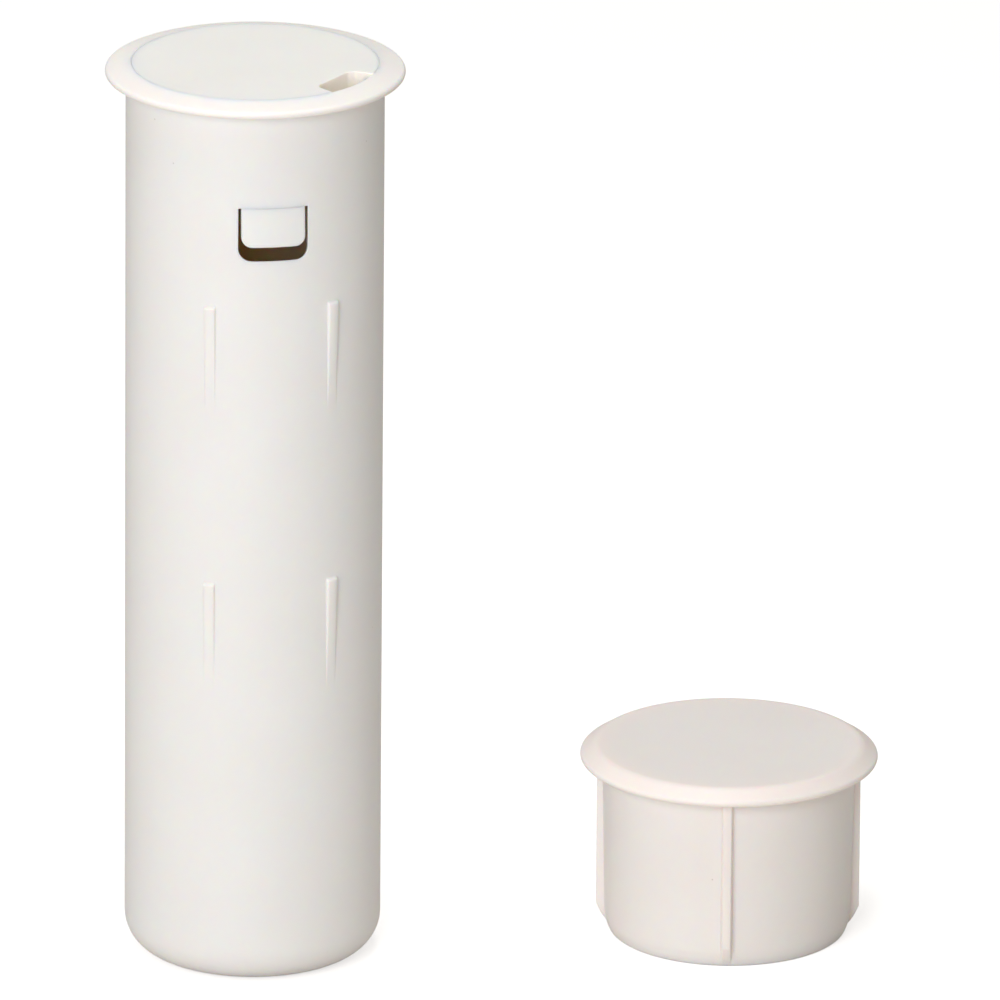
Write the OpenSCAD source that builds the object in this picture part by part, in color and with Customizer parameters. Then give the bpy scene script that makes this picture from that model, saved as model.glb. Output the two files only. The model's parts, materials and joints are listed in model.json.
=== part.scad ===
// Built-in fire blanket: a flanged canister that drops through a panel, its flush
// lid, the rolled glass-cloth blanket with two pull tapes, and the blanking plug
// that closes the panel hole when the canister is out.
// Millimetres, +Z up. Origin: centre of the canister's base. The window with the
// spring tongue faces -Y.

/* [Canister] */
// Height from the base to the top face of the lid
canister_h = 290; // [270:1:320]
// Outside diameter of the tube
canister_od = 80; // [79:0.5:82]
// Wall and floor thickness
wall = 2.4; // [2:0.1:2.6]
// Outside radius of the rounded bottom edge
bottom_round = 12; // [8:0.5:14]

/* [Canister flange] */
// Outside diameter of the flange
flange_od = 92.8; // [92:0.2:98]
// Thickness of the flange at its rim
flange_rim_t = 2.4; // [1.6:0.1:2.6]
// Underside of the flange, measured down from the top face
flange_depth = 4; // [3.6:0.1:4.4]
// Radius of the fillet under the flange
flange_fillet = 1; // [0.6:0.1:1.5]

/* [Window and spring tongue] */
// Width of the window
window_w = 21.6; // [19:0.2:24]
// Lower edge of the window above the base
window_z = 238.3; // [230:0.1:240]
// Radius of the window's lower corners
window_corner = 4; // [2:0.5:6]
// Width of the tongue
tongue_w = 19.8; // [16:0.2:20]
// Length of the tongue from its hinge line to its free end
tongue_l = 12.4; // [10:0.1:12.6]
// Thickness of the tongue
tongue_t = 2.2; // [1.8:0.1:2.3]
// Radius of the tongue's lower corners
tongue_corner = 3.2; // [2:0.2:5]
// Height of the tongue's hinge line above the base
hinge_z = 255.2; // [254:0.2:260]
// How far the relaxed tongue leans out of the wall, in degrees
tongue_lean = 5; // [2:0.5:12]

/* [Ribs on the canister] */
// Angle between the two ribs of a pair: one pair flanks the window, one is opposite
rib_spread = 57; // [50:1:90]
// Width of a rib
rib_w = 3.3; // [2.5:0.1:4]
// Length of a rib
rib_l = 32; // [20:1:36]
// How far a rib stands proud at its upper end
rib_proud = 1.3; // [0.8:0.1:1.5]
// Upper ends of the upper row above the base
rib_top_upper = 222.8; // [200:0.2:228]
// Upper ends of the lower row above the base
rib_top_lower = 132.6; // [100:0.2:150]

/* [Lid] */
// Gap all round between the lid and its recess
lid_gap = 0.25; // [0.2:0.05:0.4]
// Thickness of the lid's plate
lid_t = 2.2; // [2:0.1:2.4]
// Width of the rounded band at the edge of the lid
lid_edge = 1.3; // [0.8:0.1:1.6]
// Depth of the lid's skirt below its plate
lid_skirt_h = 10; // [8:0.5:14]
// Thickness of the lid's skirt
lid_skirt_t = 1.8; // [1.4:0.1:2]
// Width of the finger notch at its straight inner edge
notch_w = 17.6; // [15:0.2:20]
// Angle by which each side of the notch widens towards the rim
notch_flare = 16; // [0:1:18]
// Distance from the lid's centre to the notch's straight inner edge
notch_r = 29.2; // [28:0.1:30]
// Depth of the finger notch
notch_depth = 6.5; // [5:0.5:8]
// Direction of the notch seen from above, 0 along +X
notch_azimuth = -43; // [-70:1:70]

/* [Blanket] */
// Diameter of the rolled blanket
roll_d = 69; // [60:0.5:71]
// Height of the roll: a square metre of cloth folded in five
roll_h = 200; // [180:1:205]
// Width of the pull tapes
tape_w = 25; // [20:1:30]
// Thickness of a pull tape, two layers of webbing
tape_t = 2.6; // [2:0.2:3]

/* [Blanking plug] */
// Height of the plug
plug_h = 61; // [45:0.5:70]
// Distance of the plug's axis from the canister's axis, along X
plug_x = 150; // [100:0.5:160]
// Distance of the plug's axis from the canister's axis, along Y
plug_y = -4.5; // [-40:0.5:40]
// Outside diameter of the plug's skirt under the flange
plug_od_top = 79.1; // [78:0.1:80]
// Outside diameter of the plug's skirt near its lower edge
plug_od_bottom = 77; // [76:0.1:78]
// Wall thickness of the plug
plug_wall = 2.6; // [2.4:0.1:3]
// Outside diameter of the plug's flange
plug_flange_od = 93.2; // [92:0.2:98]
// Diameter of the flat disc on top of the plug
plug_disc_d = 83.8; // [82:0.2:86]
// Underside of the plug's flange, measured down from its top
plug_flange_depth = 5; // [4.2:0.1:6]
// Diameter over the plug's ribs
plug_rib_d = 82.6; // [81.5:0.1:83]
// Width of a plug rib
plug_rib_w = 3.6; // [3:0.1:4.5]
// Turn of the plug about its own axis: direction of its first rib
plug_azimuth = -100.2; // [-180:0.2:180]

/* [Hidden] */

$fn = 180;
small_fn = 48;
eps = 0.5; // how far a cutting shape runs past the face it cuts

tube_r = canister_od / 2;
bore_r = tube_r - wall;
bottom_r = tube_r - bottom_round;
flange_z = canister_h - flange_depth;

// The lid sits in a recess a little wider than the bore, on a narrow ledge.
ledge_w = 0.65;
seat_gap = 0.05;
recess_r = bore_r + ledge_w;
lid_z = canister_h - lid_t;
ledge_z = lid_z - seat_gap;
lid_r = recess_r - lid_gap;
skirt_r = bore_r - 0.4;
skirt_z = lid_z - lid_skirt_h;
pocket_wall = 1.6;
notch_z = canister_h - notch_depth;

// The flange slopes from the lid's recess down to its rounded rim.
rim_r = flange_rim_t / 2;
rim_c = [flange_od / 2 - rim_r, flange_z + rim_r];
flange_slope = atan2(canister_h - flange_z - flange_rim_t, rim_c[0] - recess_r);
rim_touch = rim_c + rim_r * [sin(flange_slope), cos(flange_slope)];

// The tongue's hinge line is a chord that lies inside the curved wall.
hinge_y = -(tube_r - 1.8);
hinge_r = 0.9;
hinge_gap = 0.3;
tongue_inner_r = tube_r - tongue_t;

// The roll's lower edge follows the canister's rounded inside corner.
roll_z = wall + 0.4;
roll_foot_round = 7;
roll_top_round = 2;
tape_root_x = 16;
tape_bend_r = 14;
tape_bend = 70;
tape_leg = 4;

plug_rim_t = 2.4;
plug_rim_r = plug_rim_t / 2;
plug_flange_z = plug_h - plug_flange_depth;
plug_rim_c = [plug_flange_od / 2 - plug_rim_r, plug_flange_z + plug_rim_r];
plug_slope = atan2(plug_h - plug_flange_z - plug_rim_t,
    plug_rim_c[0] - plug_disc_d / 2);
plug_rim_touch = plug_rim_c + plug_rim_r * [sin(plug_slope), cos(plug_slope)];
plug_lead_in = 5;     // height of the lead-in at the plug's lower edge
plug_lead_w = 1.7;    // how far the lead-in draws in
plug_rib_end = 6.5;   // height at which a plug rib's outer face ends
plug_rib_foot = 3.5;  // height at which it has run into the skirt

// Straight-topped opening with two round lower corners, drawn upwards from y = 0.
module tongue_outline(w, h, corner) {
    translate([-w / 2, corner])
        square([w, h - corner]);
    translate([-w / 2 + corner, 0])
        square([w - 2 * corner, h]);
    for (side = [-1, 1])
        translate([side * (w / 2 - corner), corner])
            circle(r = corner, $fn = small_fn);
}

// Pushes an outline drawn in X and Z through the front wall, towards -Y.
module through_front() {
    translate([0, -tube_r + 2 * wall, 0])
        rotate([90, 0, 0])
            linear_extrude(height = 2 * wall + 4)
                children();
}

// A rib drawn as radius and height, of width w, on the side that faces azimuth a.
module rib_at(a, w) {
    rotate([0, 0, a])
        translate([0, w / 2, 0])
            rotate([90, 0, 0])
                linear_extrude(height = w)
                    children();
}

module canister_outside() {
    square([bottom_r, canister_h - 1]);
    translate([0, bottom_round])
        square([tube_r, canister_h - 1 - bottom_round]);
    translate([bottom_r, bottom_round])
        circle(r = bottom_round);
    polygon([[0, flange_z], [rim_c[0], flange_z], rim_touch,
        [recess_r, canister_h], [0, canister_h]]);
    translate(rim_c)
        circle(r = rim_r, $fn = small_fn);
    difference() {
        translate([tube_r - 0.1, flange_z - flange_fillet])
            square([flange_fillet + 0.1, flange_fillet + 0.1]);
        translate([tube_r + flange_fillet, flange_z - flange_fillet])
            circle(r = flange_fillet, $fn = small_fn);
    }
}

module canister_inside() {
    translate([0, wall])
        square([bottom_r, canister_h]);
    translate([0, bottom_round])
        square([bore_r, canister_h]);
    translate([bottom_r, bottom_round])
        circle(r = bottom_round - wall);
    translate([0, ledge_z])
        square([recess_r, 2 * lid_t]);
}

module canister_rib(top_z) {
    polygon([[tube_r - 1, top_z - rib_l], [tube_r, top_z - rib_l],
        [tube_r + rib_proud, top_z], [tube_r - 1, top_z]]);
}

module canister_body() {
    window_h = hinge_z + hinge_r + hinge_gap - window_z;
    color([0.93, 0.92, 0.90])
        difference() {
            union() {
                rotate_extrude()
                    difference() {
                        canister_outside();
                        canister_inside();
                    }
                for (top_z = [rib_top_upper, rib_top_lower])
                    for (facing = [-90, 90])
                        for (side = [-1, 1])
                            rib_at(facing + side * rib_spread / 2, rib_w)
                                canister_rib(top_z);
            }
            through_front()
                translate([0, window_z])
                    tongue_outline(window_w, window_h, window_corner);
        }
}

// The tongue is a piece of the wall, turned outwards about its hinge line.
module spring_tongue() {
    color([0.92, 0.91, 0.89])
        translate([0, hinge_y, hinge_z])
            rotate([-tongue_lean, 0, 0]) {
                translate([0, -hinge_y, -hinge_z])
                    intersection() {
                        difference() {
                            translate([0, 0, hinge_z - tongue_l - 1])
                                cylinder(r = tube_r, h = tongue_l + 1);
                            translate([0, 0, hinge_z - tongue_l - 2])
                                cylinder(r = tongue_inner_r, h = tongue_l + 4);
                        }
                        through_front()
                            translate([0, hinge_z - tongue_l])
                                tongue_outline(tongue_w, tongue_l, tongue_corner);
                    }
                rotate([0, 90, 0])
                    cylinder(r = hinge_r, h = tongue_w, center = true, $fn = small_fn);
            }
}

module lid_outline() {
    translate([0, lid_z])
        square([lid_r, lid_t - lid_edge]);
    translate([0, lid_z])
        square([lid_r - lid_edge, lid_t]);
    translate([lid_r - lid_edge, canister_h - lid_edge])
        circle(r = lid_edge, $fn = small_fn);
    translate([skirt_r - lid_skirt_t, skirt_z])
        square([lid_skirt_t, lid_skirt_h + 1]);
}

// Slice of the lid beyond a straight edge at distance r_in, as wide as w there.
module notch_block(r_in, w, z_low, z_high) {
    reach = 2 * tube_r - r_in;
    w_out = w + 2 * reach * tan(notch_flare);
    rotate([0, 0, notch_azimuth])
        translate([r_in, 0, z_low])
            linear_extrude(height = z_high - z_low)
                polygon([[0, -w / 2], [reach, -w_out / 2], [reach, w_out / 2], [0, w / 2]]);
}

module lid() {
    color([0.95, 0.94, 0.90])
        difference() {
            union() {
                rotate_extrude()
                    lid_outline();
                intersection() {
                    translate([0, 0, notch_z - pocket_wall])
                        cylinder(r = skirt_r, h = notch_depth + pocket_wall - lid_t / 2);
                    notch_block(notch_r - pocket_wall, notch_w + 2 * pocket_wall,
                        notch_z - pocket_wall, canister_h);
                }
            }
            notch_block(notch_r, notch_w, notch_z, canister_h + eps);
        }
}

module blanket_roll() {
    roll_r = roll_d / 2;
    color([0.88, 0.87, 0.82])
        translate([0, 0, roll_z])
            rotate_extrude() {
                square([roll_r - roll_foot_round, roll_h]);
                translate([0, roll_foot_round])
                    square([roll_r - roll_top_round, roll_h - roll_foot_round]);
                translate([0, roll_foot_round])
                    square([roll_r, roll_h - roll_foot_round - roll_top_round]);
                translate([roll_r - roll_foot_round, roll_foot_round])
                    circle(r = roll_foot_round, $fn = small_fn);
                translate([roll_r - roll_top_round, roll_h - roll_top_round])
                    circle(r = roll_top_round, $fn = small_fn);
            }
}

// A flattened loop that stands out of the roll and bends over its centre.
module pull_tape() {
    top_z = roll_z + roll_h;
    translate([0, tape_w / 2, 0])
        rotate([90, 0, 0])
            linear_extrude(height = tape_w) {
                translate([tape_root_x - tape_t / 2, top_z])
                    square([tape_t, tape_leg]);
                translate([tape_root_x - tape_bend_r, top_z + tape_leg])
                    intersection() {
                        difference() {
                            circle(r = tape_bend_r + tape_t / 2);
                            circle(r = tape_bend_r - tape_t / 2);
                        }
                        polygon([[0, 0], [3 * tape_bend_r, 0],
                            3 * tape_bend_r * [cos(tape_bend / 2), sin(tape_bend / 2)],
                            3 * tape_bend_r * [cos(tape_bend), sin(tape_bend)]]);
                    }
            }
}

module pull_tape_right() {
    color([0.80, 0.78, 0.72])
        pull_tape();
}

module pull_tape_left() {
    color([0.80, 0.78, 0.72])
        mirror([1, 0, 0])
            pull_tape();
}

module plug_outside() {
    polygon([[0, 0], [plug_od_bottom / 2 - plug_lead_w, 0],
        [plug_od_bottom / 2 - 0.3 * plug_lead_w, 0.35 * plug_lead_in],
        [plug_od_bottom / 2, plug_lead_in],
        [plug_od_top / 2, plug_flange_z], [plug_rim_c[0], plug_flange_z],
        plug_rim_touch, [plug_disc_d / 2, plug_h], [0, plug_h]]);
    translate(plug_rim_c)
        circle(r = plug_rim_r, $fn = small_fn);
}

module plug_inside() {
    polygon([[0, -1], [plug_od_bottom / 2 - plug_wall, -1],
        [plug_od_top / 2 - plug_wall, plug_h - plug_wall], [0, plug_h - plug_wall]]);
}

module plug_rib() {
    polygon([[plug_od_bottom / 2 - 1, plug_rib_foot],
        [plug_od_bottom / 2 - 0.1, plug_rib_foot],
        [plug_rib_d / 2, plug_rib_end], [plug_rib_d / 2, plug_flange_z + 0.5],
        [plug_od_bottom / 2 - 1, plug_flange_z + 0.5]]);
}

module blanking_plug() {
    color([0.91, 0.88, 0.85])
        translate([plug_x, plug_y, 0]) {
            rotate_extrude()
                difference() {
                    plug_outside();
                    plug_inside();
                }
            for (i = [0 : 3])
                rib_at(plug_azimuth + 90 * i, plug_rib_w)
                    plug_rib();
        }
}

canister_body();
spring_tongue();
lid();
blanket_roll();
pull_tape_left();
pull_tape_right();
blanking_plug();
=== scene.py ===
"""A built-in fire blanket: canister with spring tongue, lid, rolled blanket with pull tapes, blanking plug.

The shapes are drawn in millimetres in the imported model's frame, +Z up, with the window facing -Y, and are
scaled to metres as each mesh is made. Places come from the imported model's boxes and joints.
"""

import json
import math

import bmesh
import bpy
import numpy as np
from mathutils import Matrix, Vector


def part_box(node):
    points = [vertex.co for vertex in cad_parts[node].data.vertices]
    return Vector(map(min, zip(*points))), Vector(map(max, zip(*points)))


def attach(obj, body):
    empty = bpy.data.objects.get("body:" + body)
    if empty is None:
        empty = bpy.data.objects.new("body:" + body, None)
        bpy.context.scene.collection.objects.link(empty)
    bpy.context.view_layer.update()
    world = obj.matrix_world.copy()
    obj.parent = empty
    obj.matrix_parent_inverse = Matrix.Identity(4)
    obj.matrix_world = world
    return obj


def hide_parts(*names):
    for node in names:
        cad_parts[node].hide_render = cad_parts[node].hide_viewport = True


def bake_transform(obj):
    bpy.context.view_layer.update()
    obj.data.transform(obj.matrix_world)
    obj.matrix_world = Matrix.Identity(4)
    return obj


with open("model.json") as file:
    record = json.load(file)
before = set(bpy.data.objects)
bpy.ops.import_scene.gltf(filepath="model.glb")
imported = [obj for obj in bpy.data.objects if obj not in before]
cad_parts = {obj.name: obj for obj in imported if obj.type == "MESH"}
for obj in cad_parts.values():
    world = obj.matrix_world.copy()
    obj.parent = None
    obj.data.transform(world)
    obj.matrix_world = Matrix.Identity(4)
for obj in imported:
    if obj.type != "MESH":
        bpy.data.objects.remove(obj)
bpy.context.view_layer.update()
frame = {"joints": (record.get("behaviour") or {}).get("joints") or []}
MM = 0.001


def box_mm(node):
    """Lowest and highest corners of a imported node, in millimetres."""
    low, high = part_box(node)
    return np.array(low) / MM, np.array(high) / MM


# ---- Places and sizes, in millimetres --------------------------------------------------------------------

CANISTER_HIGH = box_mm("canister_body")[1]
ROLL_LOW, ROLL_HIGH = box_mm("blanket_roll")
TAPE_LOW, TAPE_HIGH = box_mm("pull_tape_right")
PLUG_LOW, PLUG_HIGH = box_mm("blanking_plug")
HINGE = next(j for j in frame["joints"] if j["name"] == "tongue_flex")["pos_m"]

TOP_Z = CANISTER_HIGH[2]
FLANGE_R = CANISTER_HIGH[0]
TUBE_R = 40.0
WALL = 2.4
BORE_R = TUBE_R - WALL
BOTTOM_ROUND = 12.0
FLANGE_DEPTH = 4.0
FLANGE_RIM_R = 1.2
FLANGE_FILLET = 1.0
RECESS_R = 38.2
RECESS_DEPTH = 2.25
LEDGE_Z = TOP_Z - RECESS_DEPTH

HINGE_Y = HINGE[1] / MM
HINGE_Z = HINGE[2] / MM
WINDOW_HALF_W = 10.8
WINDOW_LOW = 238.3
WINDOW_CORNER = 4.0
TONGUE_HALF_W = 9.9
TONGUE_L = 12.4
TONGUE_T = 2.2
TONGUE_CORNER = 3.2
TONGUE_LEAN = 5.0
TONGUE_BEND = 1.6

RIB_TOPS = (132.6, 222.8)
RIB_SPREAD = 57.0
RIB_AZIMUTHS = [facing + side * RIB_SPREAD / 2 for facing in (-90, 90) for side in (-1, 1)]
RIB_L = 35.0
RIB_PROUD = 1.3

LID_R = 38.185
LID_T = 2.2
NOTCH_AZIMUTH = -43.0
NOTCH_HALF_W = 9.1
NOTCH_FLARE = 16.0
NOTCH_R = 29.2
NOTCH_DEPTH = 6.5
NOTCH_FLOOR = TOP_Z - NOTCH_DEPTH
POCKET_WALL = 1.6
SKIRT_R = 37.2
SKIRT_T = 1.8
SKIRT_H = 10.0

PLUG_X, PLUG_Y = (PLUG_LOW[:2] + PLUG_HIGH[:2]) / 2
PLUG_H = PLUG_HIGH[2]
PLUG_FLANGE_R = 46.6
PLUG_FLANGE_DEPTH = 5.0
PLUG_AZIMUTH = -100.2


# ---- Mesh building ---------------------------------------------------------------------------------------


def smoothstep(x):
    x = min(1.0, max(0.0, x))
    return x * x * (3 - 2 * x)


def between(first, last, t):
    """The point at share t of the way from first to last."""
    return (first[0] + (last[0] - first[0]) * t, first[1] + (last[1] - first[1]) * t)


def arc(centre, radius, start, end, count):
    """Points of an arc, angles in degrees."""
    return [
        (centre[0] + radius * math.cos(a), centre[1] + radius * math.sin(a))
        for a in np.radians(np.linspace(start, end, count))
    ]


def polar(radius, azimuth, z):
    """A point at a radius from the axis, azimuth in degrees."""
    a = math.radians(azimuth)
    return (radius * math.cos(a), radius * math.sin(a), z)


class Shell:
    """A mesh in the making: rings of points in millimetres, joined by quads."""

    def __init__(self):
        self.points = []
        self.uvs = []
        self.faces = []

    def ring(self, points, uvs=None):
        first = len(self.points)
        self.points += [tuple(p) for p in points]
        self.uvs += list(uvs) if uvs is not None else [(0.0, 0.0)] * (len(self.points) - first)
        return list(range(first, len(self.points)))

    def bridge(self, a, b, closed=True, skip=()):
        for i in range(len(a) if closed else len(a) - 1):
            j = (i + 1) % len(a)
            if i not in skip:
                self.faces.append((a[i], a[j], b[j], b[i]))

    def loft(self, rings, closed=True):
        for a, b in zip(rings, rings[1:]):
            self.bridge(a, b, closed)

    def cap(self, ring):
        self.faces.append(tuple(ring))

    def build(self, name, material, turn=0.0, shift=(0, 0), closed=True):
        """The finished object: turned about +Z by turn degrees, then moved by shift."""
        c, s = math.cos(math.radians(turn)), math.sin(math.radians(turn))
        mesh = bpy.data.meshes.new(name)
        placed = [
            ((x * c - y * s + shift[0]) * MM, (x * s + y * c + shift[1]) * MM, z * MM)
            for x, y, z in self.points
        ]
        mesh.from_pydata(placed, [], self.faces)
        layer = mesh.uv_layers.new(name="flat")
        for loop in mesh.loops:
            layer.data[loop.index].uv = self.uvs[loop.vertex_index]
        if closed:
            work = bmesh.new()
            work.from_mesh(mesh)
            bmesh.ops.recalc_face_normals(work, faces=work.faces)
            work.to_mesh(mesh)
            work.free()
        mesh.polygons.foreach_set("use_smooth", [True] * len(mesh.polygons))
        mesh.materials.append(material)
        piece = bpy.data.objects.new(name, mesh)
        bpy.context.scene.collection.objects.link(piece)
        return piece


def weighted_normals(piece):
    """Big flat faces keep their flat shading and the small rounded edges carry the turn."""
    modifier = piece.modifiers.new("even_shading", "WEIGHTED_NORMAL")
    modifier.keep_sharp = True


# ---- Materials -------------------------------------------------------------------------------------------


def new_material(name):
    material = bpy.data.materials.new(name)
    material.use_nodes = True
    tree = material.node_tree
    return material, tree.nodes, tree.links, tree.nodes["Principled BSDF"]


def noise(nodes, links, coordinates, scale, detail=2.0, roughness=0.5):
    node = nodes.new("ShaderNodeTexNoise")
    node.inputs["Scale"].default_value = scale
    node.inputs["Detail"].default_value = detail
    node.inputs["Roughness"].default_value = roughness
    links.new(coordinates, node.inputs["Vector"])
    return node.outputs["Fac"]


def remap(nodes, links, value, from_low, from_high, to_low, to_high):
    node = nodes.new("ShaderNodeMapRange")
    node.inputs["From Min"].default_value = from_low
    node.inputs["From Max"].default_value = from_high
    node.inputs["To Min"].default_value = to_low
    node.inputs["To Max"].default_value = to_high
    links.new(value, node.inputs["Value"])
    return node.outputs["Result"]


def mix_colour(nodes, links, factor, first, second):
    """Colour between two, each a tuple or a socket."""
    node = nodes.new("ShaderNodeMix")
    node.data_type = "RGBA"
    links.new(factor, node.inputs["Factor"])
    for name, value in (("A", first), ("B", second)):
        socket = next(i for i in node.inputs if i.name == name and i.type == "RGBA")
        if isinstance(value, tuple):
            socket.default_value = (*value, 1.0)
        else:
            links.new(value, socket)
    return next(o for o in node.outputs if o.type == "RGBA")


def math_node(nodes, links, operation, first, second=0.0):
    node = nodes.new("ShaderNodeMath")
    node.operation = operation
    for socket, value in zip(node.inputs, (first, second)):
        if isinstance(value, (int, float)):
            socket.default_value = value
        else:
            links.new(value, socket)
    return node.outputs[0]


def wave(nodes, links, value, length):
    """A sine wave along a coordinate, its length in metres."""
    return math_node(nodes, links, "SINE", math_node(nodes, links, "MULTIPLY", value, 2 * math.pi / length))


def bump(nodes, links, height, distance, strength, base=None):
    node = nodes.new("ShaderNodeBump")
    node.inputs["Distance"].default_value = distance
    node.inputs["Strength"].default_value = strength
    links.new(height, node.inputs["Height"])
    if base is not None:
        links.new(base, node.inputs["Normal"])
    return node.outputs["Normal"]


DUST = (0.42, 0.38, 0.33)
# Painted shade: a warm, darker colour that stands in for the shade and bounced light between the close walls
# of the lid's finger notch.
NOTCH_PAINTED_SHADE = (0.91, 0.82, 0.71)
GLASS_YARN = 0.0009
TAPE_HALF_CHEVRON = 0.00625
TAPE_RIB = 0.0014
TAPE_YARN = 0.0008


def moulded_plastic(name, colour, shade, roughness, painted_notch_shade=False):
    """Satin off-white plastic: fine grain, faint sink marks and flow clouds, a few specks of dust.

    Asked for, it turns by the map's first coordinate to a warmer, slightly darker colour: painted shade and
    painted bounce light between the close walls of the lid's finger notch.
    """
    material, nodes, links, shader = new_material(name)
    place = nodes.new("ShaderNodeTexCoord").outputs["Object"]

    clouds = remap(nodes, links, noise(nodes, links, place, 28.0, 3.0), 0.35, 0.65, 0.0, 1.0)
    tint = mix_colour(nodes, links, clouds, colour, shade)
    cells = nodes.new("ShaderNodeTexVoronoi")
    cells.inputs["Scale"].default_value = 130.0
    cells.inputs["Randomness"].default_value = 1.0
    links.new(place, cells.inputs["Vector"])
    near = remap(nodes, links, cells.outputs["Distance"], 0.02, 0.045, 1.0, 0.0)
    rare = remap(nodes, links, noise(nodes, links, place, 21.0, 0.0), 0.66, 0.68, 0.0, 0.45)
    specks = math_node(nodes, links, "MULTIPLY", near, rare)
    skin = mix_colour(nodes, links, specks, tint, DUST)
    # Painted shade on the lid's notch walls and pocket floor, as much as the map's first coordinate asks for.
    if painted_notch_shade:
        split = nodes.new("ShaderNodeSeparateXYZ")
        links.new(nodes.new("ShaderNodeTexCoord").outputs["UV"], split.inputs["Vector"])
        skin = mix_colour(nodes, links, split.outputs["X"], skin, NOTCH_PAINTED_SHADE)
    links.new(skin, shader.inputs["Base Color"])

    wear = noise(nodes, links, place, 90.0, 4.0, 0.6)
    links.new(
        remap(nodes, links, wear, 0.3, 0.7, roughness - 0.05, roughness + 0.05),
        shader.inputs["Roughness"],
    )
    sink = bump(nodes, links, noise(nodes, links, place, 45.0, 1.0), 0.0004, 0.12)
    grain = bump(nodes, links, noise(nodes, links, place, 2600.0, 2.0), 0.00004, 0.35, sink)
    links.new(grain, shader.inputs["Normal"])

    shader.inputs["Subsurface Weight"].default_value = 0.6
    shader.inputs["Subsurface Radius"].default_value = (1.0, 0.6, 0.33)
    shader.inputs["Subsurface Scale"].default_value = 0.004
    shader.inputs["Specular IOR Level"].default_value = 0.4
    return material


def glass_cloth():
    """Plain-woven glass cloth: warp and weft pass over each other, with uneven yarns and a dry sheen."""
    material, nodes, links, shader = new_material("glass_cloth")
    flat = nodes.new("ShaderNodeTexCoord").outputs["UV"]
    split = nodes.new("ShaderNodeSeparateXYZ")
    links.new(flat, split.inputs["Vector"])
    warp = wave(nodes, links, split.outputs["X"], 2 * GLASS_YARN)
    weft = wave(nodes, links, split.outputs["Y"], 2 * GLASS_YARN)
    weave = math_node(nodes, links, "MULTIPLY", warp, weft)
    slub = noise(nodes, links, flat, 420.0, 3.0)
    patches = noise(nodes, links, flat, 14.0, 3.0)
    # Painted shade: the colour darkens along the lines between the yarns, where one passes under the other.
    deep = remap(nodes, links, math_node(nodes, links, "ABSOLUTE", weave), 0.0, 0.6, 1.0, 0.0)
    aged = remap(nodes, links, patches, 0.3, 0.7, 0.0, 1.0)
    tone = mix_colour(nodes, links, aged, (0.86, 0.84, 0.79), (0.80, 0.78, 0.72))
    links.new(
        mix_colour(nodes, links, math_node(nodes, links, "MULTIPLY", deep, 0.45), tone, (0.55, 0.52, 0.46)),
        shader.inputs["Base Color"],
    )
    links.new(remap(nodes, links, slub, 0.3, 0.7, 0.55, 0.8), shader.inputs["Roughness"])
    threads = bump(nodes, links, weave, 0.00018, 0.8)
    links.new(bump(nodes, links, slub, 0.0002, 0.35, threads), shader.inputs["Normal"])
    shader.inputs["Sheen Weight"].default_value = 0.25
    shader.inputs["Sheen Roughness"].default_value = 0.45
    return material


def webbing(name, light, groove_shade):
    """Herringbone webbing: slanting ribs that turn back along the middle of the tape."""
    material, nodes, links, shader = new_material(name)
    flat = nodes.new("ShaderNodeTexCoord").outputs["UV"]
    split = nodes.new("ShaderNodeSeparateXYZ")
    links.new(flat, split.inputs["Vector"])
    across = math_node(nodes, links, "PINGPONG", split.outputs["X"], TAPE_HALF_CHEVRON)
    slant = math_node(nodes, links, "ADD", split.outputs["Y"], across)
    ribs = wave(nodes, links, slant, TAPE_RIB)
    yarn = wave(nodes, links, split.outputs["X"], TAPE_YARN)
    fuzz = noise(nodes, links, flat, 900.0, 3.0)
    height = math_node(nodes, links, "ADD", ribs, math_node(nodes, links, "MULTIPLY", yarn, 0.35))
    # Painted shade and light: the colour runs from the darker one in the grooves to the lighter one on the
    # ribs, by the same height that drives the bump.
    links.new(
        mix_colour(nodes, links, remap(nodes, links, height, -1.2, 1.0, 0.0, 1.0), groove_shade, light),
        shader.inputs["Base Color"],
    )
    links.new(remap(nodes, links, fuzz, 0.3, 0.7, 0.65, 0.85), shader.inputs["Roughness"])
    ridges = bump(nodes, links, height, 0.00016, 0.7)
    links.new(bump(nodes, links, fuzz, 0.0001, 0.4, ridges), shader.inputs["Normal"])
    shader.inputs["Sheen Weight"].default_value = 0.3
    shader.inputs["Sheen Roughness"].default_value = 0.5
    return material


def sewing_thread():
    """Twisted polyester thread."""
    material, nodes, links, shader = new_material("thread")
    place = nodes.new("ShaderNodeTexCoord").outputs["Object"]
    twist = noise(nodes, links, place, 2400.0, 2.0)
    # Painted shade: the same noise darkens the colour where it lowers the bump, in the grooves of the twist.
    links.new(
        mix_colour(nodes, links, twist, (0.62, 0.59, 0.52), (0.80, 0.77, 0.70)),
        shader.inputs["Base Color"],
    )
    links.new(bump(nodes, links, twist, 0.0001, 0.6), shader.inputs["Normal"])
    shader.inputs["Roughness"].default_value = 0.6
    return material


# ---- Canister --------------------------------------------------------------------------------------------

# The window is cut into a patch of the wall that is left open and closed again around the window's outline.
PATCH_HALF_ANGLE = 22.0
PATCH_LOW, PATCH_HIGH = 228.0, 266.0
PATCH_CELLS = 24
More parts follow.
